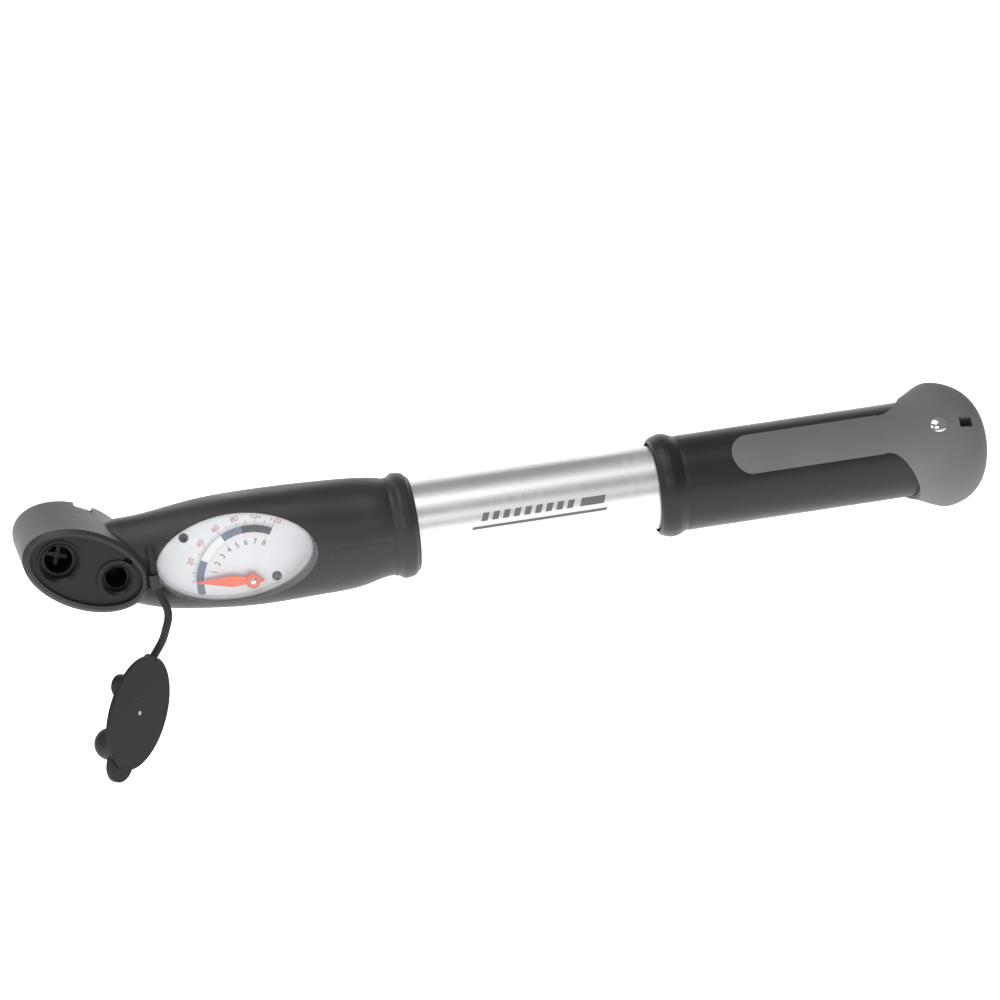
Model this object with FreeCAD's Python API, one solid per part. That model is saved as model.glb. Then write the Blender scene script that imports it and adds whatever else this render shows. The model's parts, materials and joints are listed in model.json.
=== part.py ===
"""Bicycle mini pump with a gauge, a twin valve head, a lock lever and a tethered dust cap.

Row frame, millimetres: +X runs along the barrel from the head to the handle, +Z is up and the gauge faces -Y.
The origin is on the barrel's axis, in the middle of the bare barrel, where a frame clip grips it.
The pump is drawn closed, with its cap off and hanging from the tether.
"""

import FreeCAD, Part
import math
import os

V = FreeCAD.Vector
X, Y, Z = V(1, 0, 0), V(0, 1, 0), V(0, 0, 1)

# ---- driving dimensions ----
SLIP = 0.05               # radial clearance of a fit that stays put
RUNNING = 0.08            # radial clearance of a shaft that turns or slides

BARREL_R = 12.0
BARREL_WALL = 1.2
BARE_LENGTH = 70.0        # barrel seen between the two collars when closed
BARREL_IN_CASING = 23.0
BARREL_IN_HANDLE = 65.0

COLLAR_FACE_R = 13.4      # casing's collar: end face, ridge and root
COLLAR_RIDGE_R = 15.2
COLLAR_ROOT_R = 14.2
COLLAR_LENGTH = 7.0
COLLAR_RIDGE_BACK = 4.0   # from the collar's face to its ridge

WINDOW_A = 22.9           # gauge window: half length and half height
WINDOW_B = 12.8
WINDOW_BACK = 52.4        # from the collar's face to the window's middle
WINDOW_Z = 0.25
DIAL_Y = -6.2             # dial's face
DIAL_T = 0.6
GASKET_T = 0.6
LEDGE = 1.9               # width of the ledge that carries the dial
MOVEMENT_FLOOR_Y = 2.5

NEEDLE_BACK = 48.2        # from the collar's face to the needle's pivot
NEEDLE_Z = -7.45
NEEDLE_LENGTH = 16.0
NEEDLE_ZERO_DEG = 173.7   # needle at no pressure, from +X towards +Z
SPINDLE_R = 0.8
COIL_POCKET_R = 4.8
COIL_POCKET_Y = -3.6      # the coil's pocket stops here, under the ledge
PEG_R = 0.9
PEG_SPOTS = ((-13.7, 7.2), (11.3, -7.8))   # lens pegs from the window's middle, along X and Z

HEAD_BACK = 94.9          # from the collar's face to the head's middle
HEAD_Z = 4.05
HEAD_A = 18.5             # head's front oval: half length and half width
HEAD_B = 11.3
HEAD_REAR_A = 17.6        # and its rear oval, which leans off it
HEAD_REAR_B = 11.7
HEAD_LEAN = V(-1.4, 0, 1.5)
HEAD_TILT_DEG = -26.0     # the head's long axis against the barrel
HEAD_WALL = 2.0
HEAD_FRONT_Y = -14.0
HEAD_REAR_Y = 16.5
FACE_RECESS = 1.5
BLOCK_T = 15.0
VALVE_SPACING = 17.2
VALVE_ALONG = 0.7         # middle of the valves from the head's middle

SCHRADER_R = 4.0          # bore that takes a car-type valve
PRESTA_R = 3.1            # bore that takes a racing valve
SCHRADER_MOUTH_R = 4.9
PRESTA_MOUTH_R = 3.6
SCHRADER_RING_R = 6.3
PRESTA_RING_R = 5.8
RING_PROUD = 0.6
RING_T = 3.8              # from the ring's proud face to its grommet
GROMMET_WALL = 1.6
GROMMET_T = 5.0

LEVER_PIVOT_Y = 10.0
LEVER_ALONG = -2.5        # pivot from the head's middle, along its long axis
CAM_LOW = 3.0             # pivot to yoke, lever down
CAM_LIFT_PER_RAD = 0.8    # the cam lifts the yoke evenly as the lever turns
LEVER_ANGLE = 90.0
LEVER_PIN_R = 1.25
LEVER_HALF = 5.0          # lever's half width
LEVER_SIDE_GAP = 0.3
LEVER_LENGTH = 24.0
LEVER_ARM_LOW = 4.3       # arm's faces above the pivot, lever down
LEVER_ARM_HIGH = 6.7
LEVER_SWING_R = 7.1
PIN_HALF = 10.8
SCALLOP_R = 2.9

YOKE_T = 2.2
YOKE_GAP = 0.2            # from the yoke's stems to the grommets
YOKE_SLIDE = 0.1
DEPRESSOR_R = 1.0
DEPRESSOR_TIP = 0.3       # how far its cross stands behind the grommet

ROD_R = 4.0
PISTON_LENGTH = 12.0
PISTON_GAP = 4.0          # from the base plug to the piston when closed
SEAL_R = 1.0              # O-ring's cord radius

HANDLE_R = 13.75
HANDLE_BORE_R = 12.4
HANDLE_LIP_R = 14.95
LIP_LENGTH = 9.0
HANDLE_LENGTH = 89.0      # mouth to the core's end, inside the knob
HANDLE_END_WALL = 16.0
CORE_NECK_R = 9.0         # core inside the knob
HANDLE_ROLL_DEG = 39.5    # how far the freely turning handle is rolled about the barrel
GRIP_R = 14.0
GRIP_DEPTH = 0.7          # how deep the soft grip is let into the core
TONGUE_HALF_DEG = 26.5
TONGUE_START = 22.2       # from the mouth to the tongues' tips
TONGUE_TIP_R = 6.5
ZONE_END = 76.0           # from the mouth to the end of the core's bare sides
ZONE_ROUND = 8.5
KNOB = (                  # from the mouth: half width across the paddle, half thickness
    (70.5, 14.0, 14.0), (73.0, 14.25, 13.95), (76.0, 15.3, 13.9), (79.5, 17.3, 13.8), (83.5, 18.9, 13.7),
    (87.0, 18.5, 13.5), (90.0, 17.3, 13.0), (93.2, 15.0, 12.0), (95.8, 11.6, 10.2), (97.4, 7.8, 7.4),
    (98.3, 2.8, 3.0))
PIN_R = 2.5
PIN_BACK = 83.1           # from the mouth to the cross pin
PIN_PROUD = 1.0
SLOT_BACK = 91.2
SLOT_LENGTH = 3.8
SLOT_WIDTH = 3.2

TETHER_R = 1.15
KEEPER_R = 2.2
CAP_A = 16.8
CAP_B = 10.6
CAP_T = 1.4
CAP_STEP = 0.8            # how far the inner step is set in
CAP_STEP_T = 0.9
CAP_MIDDLE = V(-120.7, -20.0, -37.4)
CAP_DOWN = V(-0.448, -0.414, -0.792)    # hanging cap's long axis, towards its tab
CAP_FACE = V(0.640, -0.768, 0.040)      # and the way its outer face looks
BEAD_R = 1.6
SOCKET_GAP = 0.1
BOSS_R = 2.5
BOSS_BACK = 2.3           # from the cap's face to the bead
BOSS_IN = 1.5             # and from the cap's end
PLUG_SHIFT = 1.3          # middle of the two plugs, towards the tab
BIG_PLUG_LENGTH = 9.8
SMALL_PLUG_LENGTH = 9.0
TAB_A = 5.4
TAB_B = 4.6

# ---- places worked out from them ----
COLLAR_X = -BARE_LENGTH / 2
MOUTH_X = BARE_LENGTH / 2
BARREL_HEAD_X = COLLAR_X - BARREL_IN_CASING
BARREL_END_X = MOUTH_X + BARREL_IN_HANDLE
BORE_R = BARREL_R - BARREL_WALL
PLUG_FLANGE_T = 4.0
PLUG_X = BARREL_HEAD_X - PLUG_FLANGE_T
WINDOW_X = COLLAR_X - WINDOW_BACK
NEEDLE_X = COLLAR_X - NEEDLE_BACK
HEAD_X = COLLAR_X - HEAD_BACK
HEAD_C = V(HEAD_X, 0, HEAD_Z)
DUCT_Y = 6.2
DUCT_R = 1.6

os.makedirs("parts", exist_ok=True)
made = []


def write(name, shape):
    """One STEP per sub-part."""
    shape = shape.removeSplitter() if len(shape.Solids) == 1 else shape
    assert shape.isValid() and shape.Volume > 0, name
    shape.exportStep("parts/%s.step" % name)
    made.append((name, shape))


def unit(deg):
    """Direction in the XZ plane, from +X towards +Z."""
    return V(math.cos(math.radians(deg)), 0, math.sin(math.radians(deg)))


def rod(start, axis, r, length):
    return Part.makeCylinder(r, length, start, axis)


def ring(start, axis, outer, inner, length):
    return rod(start, axis, outer, length).cut(rod(start, axis, inner, length))


def turned(points):
    """A solid of revolution about the X axis from (x, r) points, closed along them."""
    line = [V(x, 0, r) for x, r in points]
    face = Part.Face(Part.makePolygon(line + [line[0]]))
    return face.revolve(V(0, 0, 0), X, 360)


def oval(centre, a, b, tilt, y_front, y_back):
    """An elliptical prism along Y."""
    major, minor = unit(tilt), unit(tilt + 90)
    middle = V(centre.x, y_front, centre.z)
    edge = Part.Ellipse(middle + major * a, middle + minor * b, middle).toShape()
    return Part.Face(Part.Wire(edge)).extrude(V(0, y_back - y_front, 0))


def head_axis(along):
    """A point's offset along the head's long axis."""
    return unit(HEAD_TILT_DEG) * along


def across_head(out):
    """The head's short axis, upwards."""
    return unit(HEAD_TILT_DEG + 90) * out


# ---- casing: a run of rounded sections from the collar to the head ----
CASING = (      # back from the collar's face, half height, half depth, centre y, centre z, squareness
    (6.5, 13.9, 13.9, 0.0, 0.0, 2.0), (15.0, 15.3, 14.6, 0.4, 0.0, 2.05), (29.0, 16.1, 15.2, 1.0, -0.2, 2.2),
    (41.0, 16.3, 15.0, 1.2, -0.2, 2.35), (53.0, 16.1, 14.8, 1.3, 0.0, 2.35), (64.0, 15.2, 14.0, 1.3, 0.25, 2.3),
    (72.0, 14.2, 12.7, 1.2, 0.4, 2.15), (77.0, 13.3, 12.0, 1.2, 0.8, 2.05), (82.0, 12.3, 11.4, 1.2, 1.6, 2.0),
    (88.0, 10.2, 10.4, 1.2, 2.8, 2.0))


def section(x, half_z, half_y, y0, z0, n):
    points = []
    for k in range(36):
        c, s = math.cos(math.pi * k / 18), math.sin(math.pi * k / 18)
        y = y0 + half_y * math.copysign(abs(c) ** (2 / n), c)
        z = z0 + half_z * math.copysign(abs(s) ** (2 / n), s)
        points.append(V(x, y, z))
    curve = Part.BSplineCurve()
    curve.interpolate(Points=points, PeriodicFlag=True)
    return Part.Wire(curve.toShape())


def casing_body():
    return Part.makeLoft([section(COLLAR_X - back, *rest) for back, *rest in CASING], True, False)


body = casing_body()
collar = turned([
    (COLLAR_X, 0), (COLLAR_X, COLLAR_FACE_R), (COLLAR_X - 0.6, COLLAR_FACE_R + 0.4),
    (COLLAR_X - 1.4, COLLAR_RIDGE_R - 0.5), (COLLAR_X - 2.4, COLLAR_RIDGE_R - 0.15),
    (COLLAR_X - COLLAR_RIDGE_BACK, COLLAR_RIDGE_R), (COLLAR_X - COLLAR_RIDGE_BACK - 0.7, COLLAR_RIDGE_R - 0.1),
    (COLLAR_X - COLLAR_LENGTH + 1.0, COLLAR_ROOT_R), (COLLAR_X - COLLAR_LENGTH, COLLAR_ROOT_R - 0.1),
    (COLLAR_X - COLLAR_LENGTH, 0)])



def head_edge(a, b, centre, y):
    """The head's elliptical outline at a depth."""
    middle = V(centre.x, y, centre.z)
    return Part.Wire(Part.Ellipse(middle + head_axis(a), middle + across_head(b), middle).toShape())


head = Part.makeLoft([head_edge(HEAD_A, HEAD_B, HEAD_C, HEAD_FRONT_Y),
                      head_edge(HEAD_REAR_A, HEAD_REAR_B, HEAD_C + HEAD_LEAN, HEAD_REAR_Y)], True, True)
front_edge = [e for e in head.Edges if e.BoundBox.YMax < HEAD_FRONT_Y + 0.01]
head = head.makeChamfer(1.0, front_edge)
rear_edge = [e for e in head.Edges if e.BoundBox.YMin > HEAD_REAR_Y - 0.01]
head = head.makeFillet(2.5, rear_edge)

# the rubber link stands straight up through the keeper
LINK_TOP = V(COLLAR_X - 76.6, -12.5, 8.3)
LINK_LOW = V(COLLAR_X - 75.7, -12.5, -5.0)
LINK_AXIS = V(LINK_TOP - LINK_LOW).normalize()
KEEPER_MID = LINK_TOP - LINK_AXIS * 10.2
KEEPER_H = 3.9
keeper = rod(KEEPER_MID - LINK_AXIS * (KEEPER_H / 2), LINK_AXIS, KEEPER_R, KEEPER_H)
web = Part.makeBox(3.3, 4.0, KEEPER_H, V(KEEPER_MID.x - 1.65, KEEPER_MID.y, KEEPER_MID.z - KEEPER_H / 2))
keeper_bore = rod(KEEPER_MID - LINK_AXIS * 4, LINK_AXIS, TETHER_R + RUNNING, 8)

casing = body.fuse([collar, head, keeper, web])

# window, ledge and movement pocket
window_c = V(WINDOW_X, 0, WINDOW_Z)
LEDGE_Y = DIAL_Y + DIAL_T + GASKET_T
window_hole = oval(window_c, WINDOW_A, WINDOW_B, 0, -30, LEDGE_Y)
pocket = oval(window_c, WINDOW_A - LEDGE, WINDOW_B - LEDGE, 0, LEDGE_Y - 0.1, MOVEMENT_FLOOR_Y)
peg_at = [V(WINDOW_X + dx, 0, WINDOW_Z + dz) for dx, dz in PEG_SPOTS]
for spot in peg_at:
    post = rod(V(spot.x, LEDGE_Y - 0.1, spot.z), Y, PEG_R + 1.2, MOVEMENT_FLOOR_Y - LEDGE_Y + 0.1)
    pocket = pocket.cut(post)
    pocket = pocket.fuse(rod(V(spot.x, LEDGE_Y - 0.1, spot.z), Y, PEG_R + SLIP, 3.0))
pivot = V(NEEDLE_X, 0, NEEDLE_Z)
coil_well = rod(V(pivot.x, COIL_POCKET_Y, pivot.z), Y, COIL_POCKET_R, MOVEMENT_FLOOR_Y - COIL_POCKET_Y)
nipple_hole = rod(V(pivot.x, MOVEMENT_FLOOR_Y - 0.1, pivot.z), Y, 1.5 + SLIP, 3.6)
nipple_duct = rod(V(pivot.x, DUCT_Y - 0.8, pivot.z), Z, 0.6, -pivot.z - 0.8)

# barrel seat, and the way the air takes to the head
barrel_seat = rod(V(PLUG_X, 0, 0), X, BARREL_R + SLIP, COLLAR_X - PLUG_X + 1)
NECK_X = COLLAR_X - 78.2
BLOCK_FRONT_Y = HEAD_FRONT_Y + FACE_RECESS
BLOCK_REAR_Y = BLOCK_FRONT_Y + BLOCK_T
PORT_Y = BLOCK_REAR_Y - 3.0
duct = rod(V(NECK_X, DUCT_Y, 0), X, DUCT_R, PLUG_X - NECK_X + 0.1)
riser = rod(V(NECK_X, PORT_Y, 0), Y, DUCT_R, DUCT_Y - PORT_Y)
port = rod(V(HEAD_X + 10, PORT_Y, 0), X, DUCT_R, NECK_X - HEAD_X - 10)

# head cavity, lever slot and pin bosses
PIVOT = HEAD_C + head_axis(LEVER_ALONG) + V(0, LEVER_PIVOT_Y, 0)
YOKE_REAR_Y = LEVER_PIVOT_Y - CAM_LOW - SLIP
cavity = oval(HEAD_C, HEAD_A - HEAD_WALL, HEAD_B - HEAD_WALL, HEAD_TILT_DEG, -30, YOKE_REAR_Y + 0.3)


def head_prism(points, half, at):
    """A prism across the head: points are (along, back) from a spot, half is its half width."""
    line = [at + head_axis(a) + V(0, b, 0) - across_head(half) for a, b in points]
    return Part.Face(Part.makePolygon(line + [line[0]])).extrude(across_head(2 * half))


def head_pin(r, half, at):
    return rod(at - across_head(half), unit(HEAD_TILT_DEG + 90), r, 2 * half)


SLOT_HALF = LEVER_HALF + LEVER_SIDE_GAP
slot = head_pin(LEVER_SWING_R, SLOT_HALF, PIVOT)
slot = slot.fuse(head_prism([(-LEVER_SWING_R, 0), (LEVER_SWING_R, 0), (LEVER_SWING_R, 12), (-LEVER_SWING_R, 12)],
                            SLOT_HALF, PIVOT))
arm_low = LEVER_ARM_LOW - 0.4
slot = slot.fuse(head_prism([(0, arm_low), (40, arm_low), (40, 12), (0, 12)], SLOT_HALF, PIVOT))
pin_hole = head_pin(LEVER_PIN_R + 0.01, PIN_HALF, PIVOT)
scallops = []
for side in (-1, 1):
    spot = PIVOT + across_head(side * (PIN_HALF + 2))
    scallops.append(head_pin(SCALLOP_R, 2, spot))
    box = [(-SCALLOP_R, 0), (SCALLOP_R, 0), (SCALLOP_R, 9), (-SCALLOP_R, 9)]
    scallops.append(head_prism(box, 2, spot))

casing = casing.cut([window_hole, pocket, coil_well, nipple_hole, nipple_duct, barrel_seat, duct, riser, port,
                     cavity, slot, pin_hole, keeper_bore] + scallops)
write("casing", casing)

# ---- barrel, base plug with its check valve, guide bush and wiper ----
write("barrel", ring(V(BARREL_HEAD_X, 0, 0), X, BARREL_R, BORE_R, BARREL_END_X - BARREL_HEAD_X))

PLUG_SPIGOT = 8.0
PLUG_FACE_X = BARREL_HEAD_X + PLUG_SPIGOT
SEAT_X = PLUG_FACE_X - 3.5
VALVE_WELL_R = 3.2
GROOVE_W = 2 * SEAL_R + 0.2
GROOVE_R = BORE_R - 2 * SEAL_R


def seal_groove(x):
    return ring(V(x - GROOVE_W / 2, 0, 0), X, BORE_R + 1, GROOVE_R, GROOVE_W)


def seal_ring(x):
    return Part.makeTorus(BORE_R - SEAL_R, SEAL_R - 0.01, V(x, 0, 0), X)


plug = rod(V(PLUG_X, 0, 0), X, BARREL_R, PLUG_FLANGE_T)
plug = plug.fuse(rod(V(BARREL_HEAD_X, 0, 0), X, BORE_R - SLIP, PLUG_SPIGOT))
plug = plug.cut([
    rod(V(PLUG_X, 0, 0), X, VALVE_WELL_R, SEAT_X - PLUG_X), rod(V(SEAT_X, 0, 0), X, 1.5, 10),
    Part.makeBox(1.5, DUCT_Y + DUCT_R, 2 * DUCT_R, V(PLUG_X, 0, -DUCT_R)), seal_groove(BARREL_HEAD_X + 4)])
write("base_plug", plug)
write("base_o_ring", seal_ring(BARREL_HEAD_X + 4))

DISC_T = 1.2
write("check_disc", rod(V(SEAT_X - DISC_T, 0, 0), X, VALVE_WELL_R - 0.4, DISC_T))
SPRING_R, WIRE_R, SPRING_TURNS = 2.2, 0.24, 5
rise = (SEAT_X - DISC_T - PLUG_X - 2 * WIRE_R - 0.02) / SPRING_TURNS
helix = Part.makeHelix(rise, rise * SPRING_TURNS, SPRING_R)
across = Part.Wire(Part.Circle(V(SPRING_R, 0, 0), Y, WIRE_R).toShape())
coil = Part.Wire(helix).makePipeShell([across], True, True)
coil.rotate(V(0, 0, 0), Y, 90)
coil.translate(V(PLUG_X + WIRE_R + 0.01, 0, 0))
write("check_spring", coil)

BUSH_LENGTH = 10.0
BUSH_X = BARREL_END_X - BUSH_LENGTH
BUSH_FLANGE = 2.5
WIPER_T = 1.7
bush = rod(V(BUSH_X, 0, 0), X, BORE_R - SLIP, BUSH_LENGTH)
bush = bush.fuse(rod(V(BARREL_END_X, 0, 0), X, BARREL_R, BUSH_FLANGE))
wiper_x = BARREL_END_X + BUSH_FLANGE - WIPER_T
bush = bush.cut([rod(V(BUSH_X - 1, 0, 0), X, ROD_R + RUNNING, 20), rod(V(wiper_x, 0, 0), X, 6.0, 5)])
write("end_bush", bush)
write("rod_wiper", ring(V(wiper_x, 0, 0), X, 6.0 - SLIP, ROD_R + 0.02, WIPER_T))

# ---- gauge ----
BASE_T = 1.5
POST_R = 2.0
POST_END_Y = -3.0
base = oval(window_c, WINDOW_A - LEDGE - SLIP, WINDOW_B - LEDGE - SLIP, 0, MOVEMENT_FLOOR_Y - BASE_T,
            MOVEMENT_FLOOR_Y)
for spot in peg_at:
    base = base.cut(rod(V(spot.x, -9, spot.z), Y, PEG_R + 1.2 + SLIP, 20))
well_part = rod(V(pivot.x, MOVEMENT_FLOOR_Y - BASE_T, pivot.z), Y, COIL_POCKET_R - SLIP, BASE_T)
base = base.fuse([
    well_part, rod(V(pivot.x, POST_END_Y, pivot.z), Y, POST_R, MOVEMENT_FLOOR_Y - POST_END_Y - 0.5),
    rod(V(pivot.x, MOVEMENT_FLOOR_Y - 0.5, pivot.z), Y, 1.5, 3.5)])
base = base.cut(rod(V(pivot.x, POST_END_Y - 1, pivot.z), Y, SPINDLE_R + RUNNING, 4.0))
write("gauge_base", base)

COIL_TURNS, COIL_PITCH, COIL_MEAN = 3, 1.15, 3.3
helix = Part.makeHelix(COIL_PITCH, COIL_TURNS * COIL_PITCH, COIL_MEAN)
across = Part.Wire(Part.Circle(V(COIL_MEAN, 0, 0), Y, 0.45).toShape())
coil = Part.Wire(helix).makePipeShell([across], True, True)
coil.rotate(V(0, 0, 0), X, 90)
coil.translate(V(pivot.x, MOVEMENT_FLOOR_Y - BASE_T - 0.42, pivot.z))
write("bourdon_coil", coil)

plate = oval(window_c, WINDOW_A - SLIP, WINDOW_B - SLIP, 0, DIAL_Y, DIAL_Y + DIAL_T)
plate = plate.cut([rod(V(pivot.x, -9, pivot.z), Y, SPINDLE_R + 0.4, 9)]
                  + [rod(V(spot.x, -9, spot.z), Y, PEG_R + 0.5, 9) for spot in peg_at])
write("dial_plate", plate)
gasket = oval(window_c, WINDOW_A - SLIP, WINDOW_B - SLIP, 0, DIAL_Y + DIAL_T, LEDGE_Y)
gasket = gasket.cut(oval(window_c, WINDOW_A - LEDGE + 0.2, WINDOW_B - LEDGE + 0.2, 0, -9, 9))
for spot in peg_at:
    gasket = gasket.cut(rod(V(spot.x, -9, spot.z), Y, PEG_R + 0.5, 18))
write("lens_gasket", gasket)

LENS_PROUD = 0.25
LENS_T = 1.5
LENS_SIDE = 0.9
PEG_REACH = 8.0           # from the dial's face up into the window
dome = casing_body()
dome.translate(V(0, -LENS_PROUD, 0))
lens = oval(window_c, WINDOW_A - SLIP, WINDOW_B - SLIP, 0, -30, DIAL_Y).common(dome)
hollow = casing_body()
hollow.translate(V(0, LENS_T, 0))
hollow = hollow.common(oval(window_c, WINDOW_A - LENS_SIDE, WINDOW_B - LENS_SIDE, 0, -30, DIAL_Y))
lens = lens.cut(hollow)
pegs = []
for spot in peg_at:
    start = V(spot.x, DIAL_Y - PEG_REACH, spot.z)
    pegs.append(rod(start, Y, PEG_R, PEG_REACH + LEDGE_Y - DIAL_Y + 2.0))
lens = lens.fuse([peg.common(lens.fuse(hollow)).fuse(peg.common(
    Part.makeBox(80, 8, 40, V(WINDOW_X - 40, DIAL_Y, WINDOW_Z - 20)))) for peg in pegs])
write("gauge_lens", lens)

NEEDLE_Y = DIAL_Y - 1.3
NEEDLE_T = 0.4
spindle = rod(V(pivot.x, NEEDLE_Y - NEEDLE_T - 0.6, pivot.z), Y, SPINDLE_R, 8.0)
spindle = spindle.fuse(rod(V(pivot.x, POST_END_Y - 1.2, pivot.z), Y, 1.6, 1.0))
write("needle_spindle", spindle)
tip, side = unit(NEEDLE_ZERO_DEG), unit(NEEDLE_ZERO_DEG + 90)
outline = [(NEEDLE_LENGTH, 0.15), (5.6, 1.7), (2.0, 1.0), (0, 1.0), (-3.4, 0.3)]
points = [pivot + tip * a + side * b for a, b in outline]
points += [pivot + tip * a - side * b for a, b in reversed(outline)]
line = [V(p.x, NEEDLE_Y, p.z) for p in points]
needle = Part.Face(Part.makePolygon(line + [line[0]])).extrude(V(0, -NEEDLE_T, 0))
needle = needle.fuse(rod(V(pivot.x, NEEDLE_Y - NEEDLE_T - 0.4, pivot.z), Y, 2.1, NEEDLE_T + 0.8))
needle = needle.cut(rod(V(pivot.x, -20, pivot.z), Y, SPINDLE_R, 20))
write("gauge_needle", needle)

# ---- twin valve head ----
big = HEAD_C + head_axis(VALVE_ALONG - VALVE_SPACING / 2)
small = HEAD_C + head_axis(VALVE_ALONG + VALVE_SPACING / 2)
RING_BACK_Y = BLOCK_FRONT_Y - RING_PROUD + RING_T
GROMMET_BACK_Y = RING_BACK_Y + GROMMET_T
block = oval(HEAD_C, HEAD_A - HEAD_WALL - SLIP, HEAD_B - HEAD_WALL - SLIP, HEAD_TILT_DEG, BLOCK_FRONT_Y,
             BLOCK_REAR_Y)
sites = ((big, "schrader", SCHRADER_R, SCHRADER_MOUTH_R, SCHRADER_RING_R),
         (small, "presta", PRESTA_R, PRESTA_MOUTH_R, PRESTA_RING_R))
yoke = oval(HEAD_C, HEAD_A - HEAD_WALL - 1.2, HEAD_B - HEAD_WALL - 1.2, HEAD_TILT_DEG, YOKE_REAR_Y - YOKE_T,
            YOKE_REAR_Y)
for spot, kind, bore_r, mouth_r, ring_r in sites:
    bore_out = bore_r + GROMMET_WALL
    block = block.cut([rod(V(spot.x, -20, spot.z), Y, bore_out, 40),
                       rod(V(spot.x, -20, spot.z), Y, ring_r + 0.01, 20 + RING_BACK_Y)])
    top = V(spot.x, BLOCK_FRONT_Y - RING_PROUD, spot.z)
    bevel = 0.9
    shell = rod(top, Y, ring_r, RING_T).cut(rod(top, Y, mouth_r, RING_T))
    shell = shell.cut(Part.makeCone(mouth_r + bevel, mouth_r, bevel, top, Y))
    write(kind + "_collar", shell)
    write(kind + "_grommet", ring(V(spot.x, RING_BACK_Y, spot.z), Y, bore_out - SLIP, bore_r, GROMMET_T))
    stem_y = GROMMET_BACK_Y + YOKE_GAP
    yoke = yoke.fuse(rod(V(spot.x, stem_y, spot.z), Y, bore_out - YOKE_SLIDE, YOKE_REAR_Y - YOKE_T - stem_y))
    yoke = yoke.cut(rod(V(spot.x, stem_y, spot.z), Y, bore_r + 0.2, YOKE_REAR_Y - YOKE_T - stem_y))
locator = HEAD_C + V(11.9, 0, 0.7)
block = block.cut([rod(V(locator.x, BLOCK_FRONT_Y, locator.z), Y, 1.3, 2.0)])
block = block.cut(rod(V(HEAD_X, PORT_Y, 0), X, DUCT_R, 30))
write("valve_block", block)

yoke_front = YOKE_REAR_Y - YOKE_T
cross_y = GROMMET_BACK_Y + DEPRESSOR_TIP
depressor = rod(V(big.x, cross_y, big.z), Y, DEPRESSOR_R, yoke_front + 1.2 - cross_y)
for turn in (0, 90):
    arm = Part.makeBox(6.0, 1.2, 1.1, V(big.x - 3.0, cross_y, big.z - 0.55))
    arm.rotate(V(big.x, cross_y, big.z), Y, turn + 45 + HEAD_TILT_DEG)
    depressor = depressor.fuse(arm)
yoke = yoke.cut(rod(V(big.x, yoke_front, big.z), Y, DEPRESSOR_R, 1.2))
write("clamp_yoke", yoke)
write("valve_depressor", depressor)


def cam_outline():
    """(along, back) points of a cam that lifts a flat face evenly while it turns."""
    points = []
    for deg in range(-90, 0, 6):
        points.append((-CAM_LOW * math.sin(math.radians(deg)), -CAM_LOW * math.cos(math.radians(deg))))
    for deg in range(0, int(LEVER_ANGLE) + 1, 4):
        f = math.radians(deg)
        h = CAM_LOW + CAM_LIFT_PER_RAD * f
        out, lag = (-math.sin(f), -math.cos(f)), (-math.cos(f), math.sin(f))
        points.append((h * out[0] + CAM_LIFT_PER_RAD * lag[0], h * out[1] + CAM_LIFT_PER_RAD * lag[1]))
    top = CAM_LOW + CAM_LIFT_PER_RAD * math.radians(LEVER_ANGLE)
    for deg in range(int(LEVER_ANGLE) + 10, 181, 10):
        f = math.radians(deg)
        points.append((-top * math.sin(f), -top * math.cos(f)))
    return points


lever = head_prism(cam_outline(), LEVER_HALF, PIVOT)
arm_top, arm_under = LEVER_ARM_HIGH, LEVER_ARM_LOW
lever = lever.fuse(head_prism([(0.4, 0), (CAM_LOW, 0), (5.5, arm_under), (LEVER_LENGTH, arm_under),
                               (LEVER_LENGTH, arm_top), (1.6, arm_top), (0.4, arm_top - 1.2)],
                              LEVER_HALF, PIVOT))
round_end = rod(PIVOT + head_axis(LEVER_LENGTH - LEVER_HALF), Y, LEVER_HALF, 20)
keep = head_prism([(-9, -9), (LEVER_LENGTH - LEVER_HALF, -9), (LEVER_LENGTH - LEVER_HALF, 9), (-9, 9)], 9, PIVOT)
lever = lever.common(keep.fuse(round_end)).cut(head_pin(LEVER_PIN_R + RUNNING, 20, PIVOT))
for k in range(4):
    lever = lever.cut(head_pin(0.5, 20, PIVOT + head_axis(LEVER_LENGTH - 4 - 2.2 * k) + V(0, arm_top + 0.2, 0)))
write("lock_lever", lever)
write("lever_pin", head_pin(LEVER_PIN_R, PIN_HALF, PIVOT))

# ---- tether and dust cap ----
cap_long = V(CAP_DOWN).normalize()
cap_out = V(CAP_FACE - cap_long * CAP_FACE.dot(cap_long)).normalize()
cap_side = cap_out.cross(cap_long)
boss_c = CAP_MIDDLE - cap_long * (CAP_A - BOSS_IN) - cap_out * BOSS_BACK


def cap_oval(a, b, start, thick, along=0.0):
    """An oval plate of the cap: start is how far it lies behind the outer face."""
    middle = CAP_MIDDLE - cap_out * start + cap_long * along
    edge = Part.Ellipse(middle + cap_long * a, middle + cap_side * b, middle).toShape()
    return Part.Face(Part.Wire(edge)).extrude(cap_out * -thick)


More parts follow.
